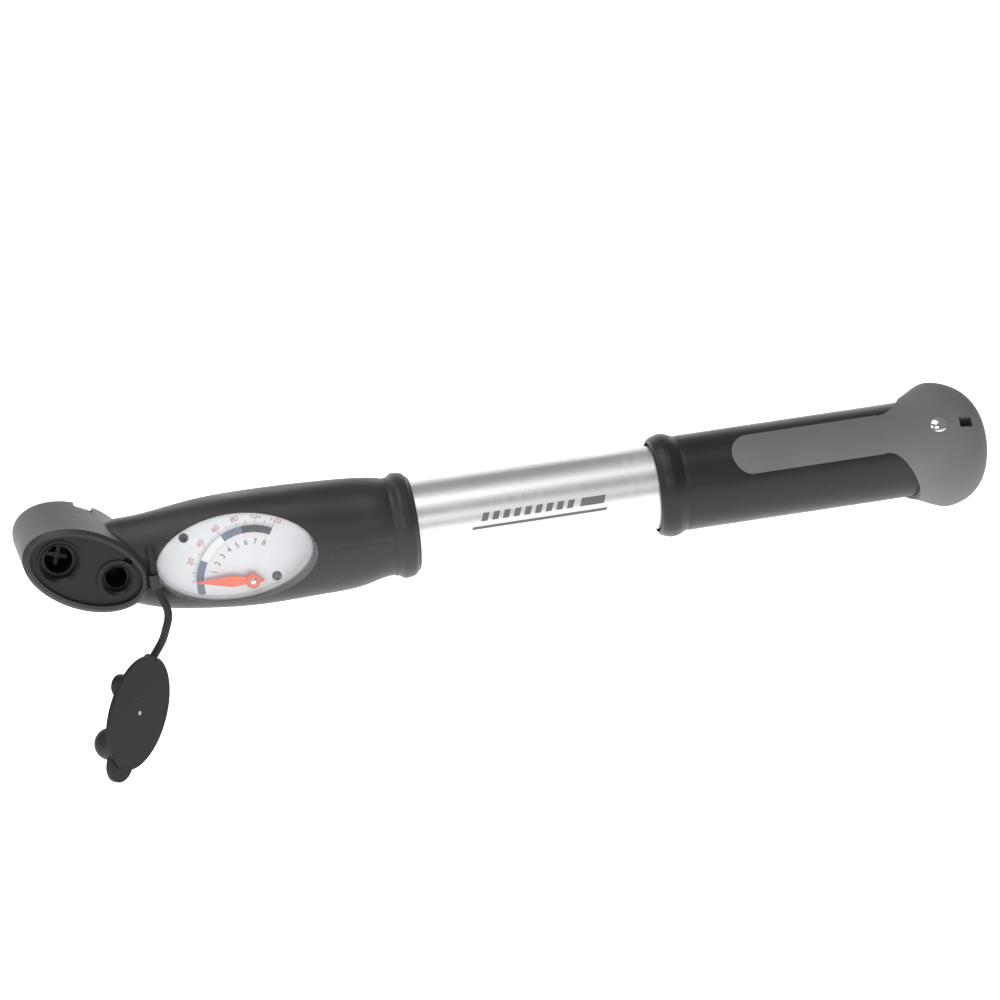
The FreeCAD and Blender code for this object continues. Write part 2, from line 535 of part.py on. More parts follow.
cap = cap_oval(CAP_A, CAP_B, 0, CAP_T).fuse(cap_oval(CAP_A - CAP_STEP, CAP_B - CAP_STEP, CAP_T, CAP_STEP_T))
under = CAP_MIDDLE - cap_out * (CAP_T + CAP_STEP_T)
big_at = under + cap_long * (PLUG_SHIFT + VALVE_SPACING / 2)
small_at = under + cap_long * (PLUG_SHIFT - VALVE_SPACING / 2)
dome_r = SCHRADER_MOUTH_R - 0.25
big_plug = rod(big_at, cap_out * -1, dome_r, BIG_PLUG_LENGTH - dome_r)
nose = Part.makeSphere(dome_r, big_at - cap_out * (BIG_PLUG_LENGTH - dome_r))
small_plug = rod(small_at, cap_out * -1, PRESTA_MOUTH_R - 0.2, SMALL_PLUG_LENGTH)
tab = cap_oval(TAB_A, TAB_B, CAP_T / 2, CAP_T, CAP_A - 1.5)
cap = cap.fuse([big_plug, nose, small_plug, tab, Part.makeSphere(BOSS_R, boss_c)])
LINK = [LINK_LOW, V(COLLAR_X - 74.4, -12.5, -8.4), V(COLLAR_X - 73.6, -12.5, -12.2),
        V(COLLAR_X - 74.8, -12.2, -16.5), V(COLLAR_X - 76.0, -10.2, -20.1), boss_c]
toward = V(LINK[-2] - boss_c).normalize()
opening = Part.makeCone(TETHER_R + 0.25, TETHER_R + 1.6, 5.0, boss_c, toward)
cap = cap.cut([Part.makeSphere(BEAD_R + SOCKET_GAP, boss_c), opening])
write("dust_cap", cap)
run = Part.BSplineCurve()
run.interpolate(Points=LINK, InitialTangent=LINK_AXIS * -4, FinalTangent=toward * -4)
across = Part.Wire(Part.Circle(LINK_LOW, LINK_AXIS, TETHER_R).toShape())
link = Part.Wire(run.toShape()).makePipeShell([across], True, False)
stem = rod(LINK_LOW, LINK_AXIS, TETHER_R, LINK_TOP.distanceToPoint(LINK_LOW))
link = link.fuse([stem, Part.makeSphere(BEAD_R, boss_c)])
write("tether", link)

# ---- plunger ----
PISTON_X = PLUG_FACE_X + PISTON_GAP
PISTON_R = BORE_R - 0.15
SHOULDER_X = PISTON_X + PISTON_LENGTH / 2
SCREW_R = 1.5
piston = rod(V(PISTON_X, 0, 0), X, PISTON_R, PISTON_LENGTH)
SEAL_X = PISTON_X + 3.2
piston = piston.cut([rod(V(SHOULDER_X, 0, 0), X, ROD_R + SLIP, 20), rod(V(PISTON_X, 0, 0), X, SCREW_R + SLIP, 9),
                     rod(V(PISTON_X, 0, 0), X, 3.2, 2.2), seal_groove(SEAL_X)])
piston = piston.cut([ring(V(PISTON_X + 8.0, 0, 0), X, BORE_R + 1, GROOVE_R + 1, 2.0)])
write("piston_head", piston)
write("piston_o_ring", seal_ring(SEAL_X))
screw = rod(V(PISTON_X + 0.2, 0, 0), X, 3.0, 2.0).fuse(rod(V(PISTON_X + 2, 0, 0), X, SCREW_R, 14))
flats = [V(PISTON_X + 0.2, 1.3 * math.cos(math.radians(a)), 1.3 * math.sin(math.radians(a)))
         for a in range(0, 360, 60)]
screw = screw.cut(Part.Face(Part.makePolygon(flats + [flats[0]])).extrude(V(1.2, 0, 0)))
write("piston_screw", screw)

CORE_END_X = MOUTH_X + HANDLE_LENGTH
PIN_X = MOUTH_X + PIN_BACK
thick_way = V(0, -math.cos(math.radians(HANDLE_ROLL_DEG)), math.sin(math.radians(HANDLE_ROLL_DEG)))
wide_way = X.cross(thick_way)
pin_mid = V(PIN_X, 0, 0)
pin_half = HANDLE_R
cross = rod(pin_mid - thick_way * 20, thick_way, PIN_R + SLIP, 40)
ROD_END_X = CORE_END_X - 1.5
plunger = rod(V(SHOULDER_X, 0, 0), X, ROD_R, ROD_END_X - SHOULDER_X)
plunger = plunger.cut([rod(V(SHOULDER_X, 0, 0), X, SCREW_R, PISTON_X + 16 - SHOULDER_X), cross])
write("plunger_rod", plunger)

# ---- handle ----
INNER_END_X = CORE_END_X - HANDLE_END_WALL
lip = [(0, 0), (0, 13.1), (0.5, 13.9), (1.6, 14.45), (3.0, HANDLE_LIP_R - 0.08), (4.2, HANDLE_LIP_R),
       (5.4, HANDLE_LIP_R - 0.2), (6.8, 14.1), (7.8, 13.65), (LIP_LENGTH, HANDLE_R), (ZONE_END, HANDLE_R),
       (ZONE_END + 1, CORE_NECK_R), (HANDLE_LENGTH, CORE_NECK_R), (HANDLE_LENGTH, 0)]
core = turned([(MOUTH_X + a, b) for a, b in lip])
mouth = turned([(MOUTH_X, 0), (MOUTH_X, 12.95), (MOUTH_X + 2.6, HANDLE_BORE_R), (INNER_END_X, HANDLE_BORE_R),
                (INNER_END_X, 0)])
GUIDE_X, GUIDE_W, GUIDE_R = MOUTH_X + 3.2, 3.6, 13.1
core = core.cut([mouth, rod(V(GUIDE_X, 0, 0), X, GUIDE_R, GUIDE_W), rod(V(0, 0, 0), X, ROD_R + SLIP, ROD_END_X),
                 cross])


def around_handle(shape):
    """From a handle lying with its wide way along Z to the rolled one."""
    shape.rotate(V(0, 0, 0), X, -HANDLE_ROLL_DEG)
    return shape


def soft_section(x, wide, thick):
    return section(MOUTH_X + x, thick, wide, 0, 0, 2.0)


# the soft grip: two tongues, and past the core's bare sides all of it
ROUND_X = MOUTH_X + ZONE_END - ZONE_ROUND
START_X = MOUTH_X + TONGUE_START
TONGUE_STRAIGHT = 44.0      # the tongues' even length, before the knob starts to grow
knob_start = TONGUE_START + TONGUE_STRAIGHT - 2
flare = [(knob_start, GRIP_R - 0.1, GRIP_R - 0.1), (knob_start + 3, GRIP_R - 0.05, GRIP_R - 0.05)]
soft = Part.makeLoft([soft_section(*row) for row in flare + list(KNOB)], True, False, False, 3)
soft.rotate(V(0, 0, 0), X, 90)
soft = soft.fuse(rod(V(START_X, 0, 0), X, GRIP_R, TONGUE_STRAIGHT))
seat_r = HANDLE_R - GRIP_DEPTH
soft = soft.cut(rod(V(START_X - 1, 0, 0), X, seat_r, MOUTH_X + ZONE_END - START_X + 1))
soft = soft.cut(rod(V(START_X, 0, 0), X, CORE_NECK_R, CORE_END_X - START_X))
bite_half = GRIP_R * math.cos(math.radians(TONGUE_HALF_DEG))
middle = V(ROUND_X, 0, -30)
corners = [middle - Y * bite_half, V(START_X - 1, -bite_half, -30), V(START_X - 1, bite_half, -30),
           middle + Y * bite_half]
round_end = Part.Ellipse(corners[3], middle + X * ZONE_ROUND, middle)
edges = [Part.ArcOfEllipse(round_end, 0, math.pi).toShape()]
edges += [Part.LineSegment(corners[k], corners[k + 1]).toShape() for k in range(3)]
soft = soft.cut(Part.Face(Part.Wire(edges)).extrude(V(0, 0, 60)))
tip_c = START_X + TONGUE_TIP_R
for side in (-1, 1):
    low_y = min(0, side * 30)
    beyond = Part.makeBox(TONGUE_TIP_R + 1, 30, 30, V(START_X - 1, low_y, -15))
    soft = soft.cut(beyond.cut(rod(V(tip_c, low_y - 1, 0), Y, TONGUE_TIP_R, 32)))
soft = around_handle(soft)
lanyard = Part.makeBox(SLOT_LENGTH, 60, SLOT_WIDTH, V(MOUTH_X + SLOT_BACK - SLOT_LENGTH / 2, -30, -SLOT_WIDTH / 2))
soft = soft.cut([around_handle(lanyard), cross])
core = core.cut(soft)
write("handle_core", core)
write("handle_grip", soft)

pin = rod(pin_mid - thick_way * pin_half, thick_way, PIN_R, 2 * pin_half)
for side in (-1, 1):
    end = pin_mid + thick_way * (side * pin_half)
    cap_r = (PIN_R ** 2 + PIN_PROUD ** 2) / (2 * PIN_PROUD)
    button = Part.makeSphere(cap_r, end - thick_way * (side * (cap_r - PIN_PROUD)))
    pin = pin.fuse(button.common(rod(end, thick_way * side, PIN_R, 5)))
write("cross_pin", pin)
write("handle_guide_ring", ring(V(GUIDE_X + 0.05, 0, 0), X, GUIDE_R - SLIP, BARREL_R + RUNNING, GUIDE_W - 0.1))
BUMPER_X = BARREL_END_X + BUSH_FLANGE + 0.3
write("handle_bumper", ring(V(BUMPER_X, 0, 0), X, 8.0, ROD_R + SLIP, INNER_END_X - BUMPER_X))

print("stroke", BUSH_X - PISTON_X - PISTON_LENGTH - 1)
print("yoke travel", CAM_LIFT_PER_RAD * math.radians(LEVER_ANGLE))
print("lever pivot", PIVOT, "axis", unit(HEAD_TILT_DEG + 90))
print("link axis", LINK_AXIS, "at", KEEPER_MID, "bead", boss_c, "cap side", cap_side)
print("needle pivot", pivot, "grommets", big, small, RING_BACK_Y, "slot", MOUTH_X + SLOT_BACK, thick_way, wide_way)
for name, shape in made:
    b = shape.BoundBox
    print(name, len(shape.Solids), round(shape.Volume), [round(v, 1) for v in (b.XMin, b.XMax, b.YMin, b.YMax,
                                                                               b.ZMin, b.ZMax)])
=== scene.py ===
# %% [markdown]
# # A mini pump, drawn on its CAD frame
# The pump's parts come in already placed and sized, in metres. This script gives them their camera and
# light first, then a finish for every material, and then the small pieces that the CAD leaves out: the
# dial's print, the needle's boss, the barrel's decoration, and the moulder's marks.

# %% Load the frame
import json
import math

import bmesh
import bpy
from mathutils import Matrix, Vector
from mathutils.bvhtree import BVHTree


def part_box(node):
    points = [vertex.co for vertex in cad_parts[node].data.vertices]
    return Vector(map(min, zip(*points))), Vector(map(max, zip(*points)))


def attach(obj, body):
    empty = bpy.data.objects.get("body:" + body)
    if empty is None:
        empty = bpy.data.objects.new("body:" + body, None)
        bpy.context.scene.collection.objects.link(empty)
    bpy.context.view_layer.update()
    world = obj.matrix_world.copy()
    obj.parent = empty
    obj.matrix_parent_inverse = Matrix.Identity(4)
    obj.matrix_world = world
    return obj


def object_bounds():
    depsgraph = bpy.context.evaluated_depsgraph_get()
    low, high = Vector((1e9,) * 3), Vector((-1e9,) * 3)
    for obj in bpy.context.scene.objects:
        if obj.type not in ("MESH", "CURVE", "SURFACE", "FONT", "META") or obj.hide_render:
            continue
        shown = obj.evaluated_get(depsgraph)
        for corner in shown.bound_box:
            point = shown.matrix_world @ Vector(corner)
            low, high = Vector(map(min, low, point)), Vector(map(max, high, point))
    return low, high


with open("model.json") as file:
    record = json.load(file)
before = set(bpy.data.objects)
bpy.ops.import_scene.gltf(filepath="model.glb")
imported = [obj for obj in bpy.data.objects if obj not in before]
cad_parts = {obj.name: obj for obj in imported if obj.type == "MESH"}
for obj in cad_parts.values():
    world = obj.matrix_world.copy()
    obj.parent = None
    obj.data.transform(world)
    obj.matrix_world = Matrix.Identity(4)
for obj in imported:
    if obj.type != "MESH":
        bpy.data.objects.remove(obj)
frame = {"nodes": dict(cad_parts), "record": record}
cad_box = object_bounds()
MM = 0.001
print("nodes", len(frame["nodes"]), "box", cad_box)

# %% [markdown]
# ## Camera
# A pump is a long thin thing, and a short lens would swell the end that is nearer. A long lens from
# 1.5 m keeps its tube straight and its oval window true. The camera looks down a little, from slightly
# towards the head, and is rolled so that the pump rises across the picture.

# %% Camera
AZIMUTH, ELEVATION, ROLL = math.radians(-8.0), math.radians(15.0), math.radians(6.49)
DISTANCE = 1.5
AIM = Vector((-9.31, 0.0, 2.99)) * MM
back = Vector((math.sin(AZIMUTH) * math.cos(ELEVATION), -math.cos(AZIMUTH) * math.cos(ELEVATION),
               math.sin(ELEVATION)))
level = Vector((math.cos(AZIMUTH), math.sin(AZIMUTH), 0))
upright = back.cross(level)
right = level * math.cos(ROLL) - upright * math.sin(ROLL)
up = level * math.sin(ROLL) + upright * math.cos(ROLL)
eye = AIM + back * DISTANCE
camera = bpy.data.objects.new("camera", bpy.data.cameras.new("camera"))
bpy.context.scene.collection.objects.link(camera)
camera.matrix_world = Matrix(((right.x, up.x, back.x, eye.x), (right.y, up.y, back.y, eye.y),
                              (right.z, up.z, back.z, eye.z), (0, 0, 0, 1)))
camera.data.sensor_width = 36
camera.data.lens = 36 * DISTANCE / 0.28605
camera.data.clip_start = 0.05
bpy.context.scene.camera = camera
print("camera", tuple(round(v, 3) for v in eye), "lens", round(camera.data.lens, 1))

# %% [markdown]
# ## Helpers
# Every colour is written as the hex value that a screen shows, and one function makes it linear. One
# function adds a shader node with its settings and its links.

# %% Colour and node helpers
def shown(hex_colour, alpha=1.0):
    """A screen colour, such as '#2b2b2a', as linear RGBA."""
    out = []
    for k in (1, 3, 5):
        c = int(hex_colour[k:k + 2], 16) / 255
        out.append(c / 12.92 if c <= 0.04045 else ((c + 0.055) / 1.055) ** 2.4)
    return (*out, alpha)


def add(tree, kind, settings=None, inputs=None):
    """One shader node: settings are its attributes, and inputs are values or the sockets to link."""
    node = tree.nodes.new(kind)
    for key, value in (settings or {}).items():
        setattr(node, key, value)
    for key, value in (inputs or {}).items():
        if isinstance(value, bpy.types.NodeSocket):
            tree.links.new(value, node.inputs[key])
        else:
            node.inputs[key].default_value = value
    return node


def start_material(name, **fixed):
    """A material with one Principled shader whose sockets are set, and its tree, shader and position."""
    material = bpy.data.materials.new(name)
    material.use_nodes = True
    tree = material.node_tree
    tree.nodes.clear()
    shader = add(tree, "ShaderNodeBsdfPrincipled", None, fixed)
    add(tree, "ShaderNodeOutputMaterial", None, {"Surface": shader.outputs["BSDF"]})
    place = add(tree, "ShaderNodeTexCoord").outputs["Object"]
    return material, tree, shader, place


def noise(tree, place, size_mm, detail=2.0, rough=0.5):
    """Noise whose blobs are about size_mm across."""
    return add(tree, "ShaderNodeTexNoise", None, {
        "Vector": place, "Scale": 0.5 / (size_mm * MM), "Detail": detail, "Roughness": rough}).outputs["Fac"]


def spread(tree, value, low, high, out_low, out_high):
    """Map a 0 to 1 pattern to a range."""
    return add(tree, "ShaderNodeMapRange", None, {"Value": value, "From Min": low, "From Max": high,
                                                  "To Min": out_low, "To Max": out_high}).outputs["Result"]


def two_colours(tree, factor, first, second):
    """Mix two colours by a pattern. Sockets 6 and 7 of a Mix node are its colours."""
    inputs = {"Factor": factor, 6: first, 7: second}
    return add(tree, "ShaderNodeMix", {"data_type": "RGBA"}, inputs).outputs[2]


def emboss(tree, shader, height, depth_mm, strength):
    """Raise a pattern as fine relief."""
    inputs = {"Height": height, "Distance": depth_mm * MM, "Strength": strength}
    bump = add(tree, "ShaderNodeBump", None, inputs)
    tree.links.new(bump.outputs["Normal"], shader.inputs["Normal"])


# %% [markdown]
# ## Moulded black ABS
# The casing is moulded in black ABS against a finely eroded steel mould, so it has a satin grain of about
# 0.1 mm. Grain that fine can't show at this size, so it is drawn at 0.35 mm. Handling leaves pale dust.

# %% Moulded plastics
def moulded_plastic(name, colour, lighter, roughness, grain_mm, grain_depth, dust=0.0, shine=0.5):
    material, tree, shader, place = start_material(name, IOR=1.53)
    shader.inputs["Specular IOR Level"].default_value = shine
    cloudy = noise(tree, place, 9.0, 3.0)
    grain = noise(tree, place, grain_mm, 2.0, 0.6)
    base = two_colours(tree, spread(tree, cloudy, 0.35, 0.7, 0.0, 1.0), shown(colour), shown(lighter))
    if dust:
        specks = noise(tree, place, 0.4, 1.0, 0.4)
        base = two_colours(tree, spread(tree, specks, 0.77, 0.82, 0.0, dust), base, shown("#8f8e88"))
    tree.links.new(base, shader.inputs["Base Color"])
    tree.links.new(spread(tree, cloudy, 0.3, 0.7, roughness - 0.05, roughness + 0.06),
                   shader.inputs["Roughness"])
    emboss(tree, shader, grain, grain_depth, 0.6)
    return material


casing_abs = moulded_plastic("satin_black_abs", "#242321", "#2a2826", 0.43, 0.35, 0.02, dust=0.3, shine=0.4)
block_abs = moulded_plastic("block_black_abs", "#0e0e0e", "#131313", 0.42, 0.5, 0.008, dust=0.2, shine=0.3)
handle_abs = moulded_plastic("satin_black_nylon", "#151515", "#1b1b1b", 0.38, 0.6, 0.006, dust=0.15,
                             shine=0.35)
acetal = moulded_plastic("white_acetal", "#dcdad3", "#e6e4de", 0.4, 0.4, 0.01)
grip_tpe = moulded_plastic("grey_soft_touch_tpe", "#686a69", "#707271", 0.7, 0.3, 0.03, dust=0.3, shine=0.3)
tether_rubber = moulded_plastic("matte_black_rubber", "#1a1a19", "#222221", 0.6, 0.4, 0.025, dust=0.4,
                                shine=0.3)
seal_rubber = moulded_plastic("seal_rubber", "#121212", "#181818", 0.5, 0.4, 0.01)

# %% [markdown]
# ## Metals
# The barrel is drawn aluminium tube that is turned against fine grit and then anodised. The marks run
# round it, so each highlight is smeared along it. A metal keeps the default IOR, and its colour is its
# reflection.

# %% Metals
def metal(name, colour, roughness, anisotropy=0.0, marks_mm=None, mark_depth=0.0):
    material, tree, shader, place = start_material(name, Metallic=1.0)
    shader.inputs["Base Color"].default_value = shown(colour)
    shader.inputs["Anisotropic"].default_value = anisotropy
    if marks_mm:
        along = add(tree, "ShaderNodeMapping", {"vector_type": "POINT"},
                    {"Vector": place, "Scale": (1.0, 0.02, 0.02)}).outputs["Vector"]
        marks = noise(tree, along, marks_mm, 3.0, 0.65)
        tree.links.new(spread(tree, marks, 0.3, 0.7, roughness - 0.05, roughness + 0.07),
                       shader.inputs["Roughness"])
        emboss(tree, shader, marks, mark_depth, 0.5)
    else:
        blotch = noise(tree, place, 2.0, 2.0)
        tree.links.new(spread(tree, blotch, 0.3, 0.7, roughness - 0.03, roughness + 0.03),
                       shader.inputs["Roughness"])
    return material


barrel_metal = metal("anodised_aluminium", "#dcdddf", 0.36, 0.35, 0.25, 0.004)
rod_metal = metal("turned_aluminium", "#cfd0d2", 0.28, 0.2, 0.3, 0.003)
steel = metal("polished_stainless_steel", "#c9c7c2", 0.12)
spring_steel = metal("spring_wire", "#9b9a97", 0.3)
coil_brass = metal("drawn_brass", "#c8a25a", 0.3)

# %% [markdown]
# ## Gauge finishes
# The dial is thin aluminium sheet, painted silver. The window is clear moulded polycarbonate, which bends
# light and keeps a sharp gloss. A clear part has to let light through to the dial, so its shader is
# partly see-through as well as glossy.

# %% Gauge finishes
dial_paint, tree, shader, place = start_material("silver_dial_paint", Metallic=0.35, Roughness=0.42)
flake = noise(tree, place, 0.4, 2.0)
tree.links.new(two_colours(tree, flake, shown("#cfd2d6"), shown("#dee0e3")), shader.inputs["Base Color"])

lens_plastic, tree, shader, place = start_material("clear_polycarbonate", Roughness=0.03, IOR=1.58)
shader.inputs["Base Color"].default_value = shown("#f4f6f8")
shader.inputs["Alpha"].default_value = 0.06
needle_paint, tree, shader, place = start_material("orange_needle_paint", Roughness=0.45)
shade = noise(tree, place, 1.5, 1.0)
tree.links.new(two_colours(tree, shade, shown("#e2552c"), shown("#e9653c")), shader.inputs["Base Color"])

# %% Finishes for the CAD parts
FINISH = {
    "casing": casing_abs, "barrel": barrel_metal, "base_plug": block_abs, "base_o_ring": seal_rubber,
    "check_disc": seal_rubber, "check_spring": spring_steel, "end_bush": block_abs, "rod_wiper": seal_rubber,
    "gauge_base": acetal, "bourdon_coil": coil_brass, "dial_plate": dial_paint, "lens_gasket": seal_rubber,
    "gauge_lens": lens_plastic, "needle_spindle": steel, "gauge_needle": needle_paint,
    "valve_block": block_abs, "schrader_collar": block_abs, "presta_collar": block_abs,
    "schrader_grommet": seal_rubber, "presta_grommet": seal_rubber, "valve_depressor": block_abs,
    "clamp_yoke": block_abs, "lock_lever": handle_abs, "lever_pin": steel, "tether": tether_rubber,
    "dust_cap": tether_rubber, "piston_head": acetal, "piston_o_ring": seal_rubber,
    "piston_screw": spring_steel,
    "plunger_rod": rod_metal, "handle_core": handle_abs, "handle_guide_ring": acetal, "handle_grip": grip_tpe,
    "cross_pin": steel, "handle_bumper": seal_rubber}
for node, finish in FINISH.items():
    for slot in frame["nodes"][node].material_slots:
        slot.material = finish
print("finishes", len(set(FINISH.values())))

# %% [markdown]
# ## Floor and light
# A pale sweep that glows a little, and three large soft lamps: a broad one above, a strip in front that draws
# the line of light on the barrel, and a weak one at the head's end. The world fills the rest.

# %% Floor
floor_paint, tree, shader, place = start_material("pale_floor", Roughness=0.9)
shader.inputs["Base Color"].default_value = shown("#fbfbfb")
shader.inputs["Emission Color"].default_value = shown("#ffffff")
shader.inputs["Emission Strength"].default_value = 0.95
bm = bmesh.new()
bmesh.ops.create_grid(bm, x_segments=1, y_segments=1, size=3.0)
bmesh.ops.translate(bm, verts=bm.verts, vec=(0, 1.0, cad_box[0][2] - 0.05))
far = [e for e in bm.edges if all(v.co.y > 3.9 for v in e.verts)]
grown = bmesh.ops.extrude_edge_only(bm, edges=far)
raised = [v for v in grown["geom"] if isinstance(v, bmesh.types.BMVert)]
bmesh.ops.translate(bm, verts=raised, vec=(0, 0.3, 3.0))
sweep_mesh = bpy.data.meshes.new("sweep")
bm.to_mesh(sweep_mesh)
bm.free()
sweep = bpy.data.objects.new("sweep", sweep_mesh)
bpy.context.scene.collection.objects.link(sweep)
sweep.data.materials.append(floor_paint)

# %% Light
def lamp(name, at, target, size, size_y, watts):
    """A rectangular lamp that faces a point."""
    light = bpy.data.lights.new(name, "AREA")
    light.shape = "RECTANGLE"
    light.size, light.size_y, light.energy = size, size_y, watts
    holder = bpy.data.objects.new(name, light)
    bpy.context.scene.collection.objects.link(holder)
    holder.location = at
    holder.rotation_euler = (Vector(target) - Vector(at)).to_track_quat("-Z", "Y").to_euler()


lamp("top_lamp", (-0.25, -0.15, 0.9), (0, 0, 0), 1.0, 0.6, 4.2)
lamp("front_lamp", (-0.3, -1.1, 0.45), (0, 0, 0), 0.8, 0.35, 2.6)
lamp("head_lamp", (-0.9, -0.35, 0.4), (-0.1, 0, 0), 0.5, 0.5, 1.2)
world = bpy.data.worlds.new("studio")
bpy.context.scene.world = world
world.use_nodes = True
world.node_tree.nodes["Background"].inputs["Color"].default_value = (1, 1, 1, 1)
world.node_tree.nodes["Background"].inputs["Strength"].default_value = 0.34
bpy.context.scene.view_settings.view_transform = "Standard"

# %% [markdown]
# ## Dial print
# The dial is printed in one pass on its plate: a ring of coloured zones, a scale that reads outwards in
# pounds, a scale that reads inwards in bar, and their figures. Each mark is a thin flat shape that stands
# 0.02 mm off the plate, so its edge is sharp, as printed ink is. The figures are set on the scale's arc,
# with their feet towards the pivot.

# %% Dial print
joint_rows = frame["record"]["behaviour"]["joints"]
PIVOT = next(Vector(j["pos_m"]) for j in joint_rows if j["name"] == "needle_swing")
DIAL_LOW, DIAL_HIGH = (Vector(v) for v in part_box("dial_plate"))
DIAL_MID = (DIAL_LOW + DIAL_HIGH) / 2
INK_Y = DIAL_LOW.y - 0.02 * MM
ZERO, PER_PSI, PSI_PER_BAR = 174.0, 0.933, 14.5
LAST_PSI, LAST_BAR = 120, 8


def psi_angle(psi):
    """Where a pressure stands on the dial, in degrees from +X towards +Z."""
    return ZERO - PER_PSI * psi


def on_dial(r_mm, deg):
    """A point of the print, from its radius and angle about the pivot."""
    a = math.radians(deg)
    return Vector((PIVOT.x + r_mm * MM * math.cos(a), INK_Y, PIVOT.z + r_mm * MM * math.sin(a)))


def within_plate(spot, inset_mm=0.7):
    """Whether a point is on the oval plate, clear of its edge."""
    half_x = (DIAL_HIGH.x - DIAL_LOW.x) / 2 - inset_mm * MM
    half_z = (DIAL_HIGH.z - DIAL_LOW.z) / 2 - inset_mm * MM
    return ((spot.x - DIAL_MID.x) / half_x) ** 2 + ((spot.z - DIAL_MID.z) / half_z) ** 2 < 1


def finished_piece(name, bm, material, body):
    """Turn a bmesh into a piece that rides on a body."""
    bmesh.ops.recalc_face_normals(bm, faces=bm.faces)
    mesh = bpy.data.meshes.new(name)
    bm.to_mesh(mesh)
    bm.free()
    mesh.materials.append(material)
    made = bpy.data.objects.new(name, mesh)
    bpy.context.scene.collection.objects.link(made)
    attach(made, body)
    print(name, len(mesh.polygons), "faces")
    return made


def ink(name, colour, worn):
    """Screen-printed ink, a little uneven."""
    material, tree, shader, place = start_material(name, Roughness=0.5)
    tree.links.new(two_colours(tree, noise(tree, place, 0.5, 2.0), shown(colour), shown(worn)),
                   shader.inputs["Base Color"])
    return material


def arc_quads(bm, r_in, r_out, start_deg, end_deg, step=0.8):
    """A flat band round the pivot, left out where it would pass the plate's edge."""
    count = max(1, round(abs(start_deg - end_deg) / step))
    for k in range(count):
        first = start_deg + (end_deg - start_deg) * k / count
        second = start_deg + (end_deg - start_deg) * (k + 1) / count
        corners = [on_dial(r_in, first), on_dial(r_out, first), on_dial(r_out, second), on_dial(r_in, second)]
        if all(within_plate(c) for c in corners):
            bm.faces.new([bm.verts.new(c) for c in corners])


def tick(bm, deg, r_in, r_out, width_mm):
    """One stroke of a scale."""
    a = math.radians(deg)
    side = Vector((-math.sin(a), 0, math.cos(a))) * width_mm * MM / 2
    corners = [on_dial(r_in, deg) - side, on_dial(r_out, deg) - side, on_dial(r_out, deg) + side,
               on_dial(r_in, deg) + side]
    if all(within_plate(c) for c in corners):
        bm.faces.new([bm.verts.new(c) for c in corners])


INKS = {"slate": ink("slate_ink", "#56617c", "#5f6a85"), "white": ink("white_ink", "#e9ebee", "#dfe2e6"),
        "black": ink("black_ink", "#17181b", "#212226"), "red": ink("red_ink", "#b5332a", "#bd4136"),
        "pale_red": ink("pale_red_ink", "#d98a80", "#d3938a")}
ZONES = (("slate", 196.5, psi_angle(25)), ("white", psi_angle(25), psi_angle(60)),
         ("slate", psi_angle(60), psi_angle(85)), ("black", psi_angle(85), psi_angle(120)))
for number, (colour, start_deg, end_deg) in enumerate(ZONES):
    bm = bmesh.new()
    arc_quads(bm, 13.7, 15.8, start_deg, end_deg)
    finished_piece("dial_zone_%d_%s" % (number, colour), bm, INKS[colour], "pump")

bm = bmesh.new()
for psi in range(0, LAST_PSI + 1, 2):
    length = 1.4 if psi % 10 == 0 else 0.8
    tick(bm, psi_angle(psi), 16.0, 16.0 + length, 0.16 if psi % 10 == 0 else 0.1)
arc_quads(bm, 15.85, 15.97, ZERO, psi_angle(LAST_PSI))
finished_piece("dial_ticks_pounds", bm, INKS["black"], "pump")
bm = bmesh.new()
for tenth in range(0, LAST_BAR * 10 + 1, 2):
    long_one = tenth % 10 == 0
    tick(bm, psi_angle(tenth / 10 * PSI_PER_BAR), 11.9 if long_one else 12.5, 13.4,
         0.12 if long_one else 0.08)
finished_piece("dial_ticks_bar", bm, INKS["pale_red"], "pump")


def figures(name, texts, size_mm, material):
    """Numbers along the scale, made as text and kept as one flat mesh."""
    bm = bmesh.new()
    for text, r_mm, deg in texts:
        curve = bpy.data.curves.new(name, "FONT")
        curve.body, curve.size, curve.align_x, curve.align_y = text, size_mm * MM, "CENTER", "CENTER"
        curve.resolution_u = 4
        holder = bpy.data.objects.new(name, curve)
        flat = bpy.data.meshes.new_from_object(holder)
        stood = Matrix.Rotation(math.radians(90), 4, "X")
        turned = Matrix.Rotation(math.radians(90 - deg), 4, "Y") @ stood
        flat.transform(Matrix.Translation(on_dial(r_mm, deg)) @ turned)
        bm.from_mesh(flat)
        bpy.data.objects.remove(holder)
        bpy.data.curves.remove(curve)
        bpy.data.meshes.remove(flat)
    return finished_piece(name, bm, material, "pump")


figures("dial_figures_pounds", [(str(n), 18.4, psi_angle(n)) for n in range(20, LAST_PSI + 1, 20)], 2.3,
        INKS["red"])
figures("dial_figures_bar", [(str(n), 10.9, psi_angle(n * PSI_PER_BAR)) for n in range(1, LAST_BAR + 1)], 2.3,
        INKS["black"])

# %% [markdown]
# ## Needle's boss
# The needle is a stamping pressed on its spindle, and a turned brass boss with a polished pin holds it.
# Each is a lathe outline about the spindle, and both turn with the needle.

# %% Needle's boss
def lathe(bm, centre, outline, count=48):
    """A turned shape about the Y axis: outline is (radius, y) in mm, y from the centre, towards -Y."""
    rings = []
    for r, y in outline:
        rings.append([bm.verts.new(centre + Vector((r * math.cos(2 * math.pi * k / count), -y,
                                                   r * math.sin(2 * math.pi * k / count))) * MM)
                      for k in range(count)])
    for lower, upper in zip(rings, rings[1:]):
        for k in range(count):
            bm.faces.new((lower[k], lower[(k + 1) % count], upper[(k + 1) % count], upper[k]))
    bm.faces.new(rings[-1])
    bm.faces.new(rings[0][::-1])


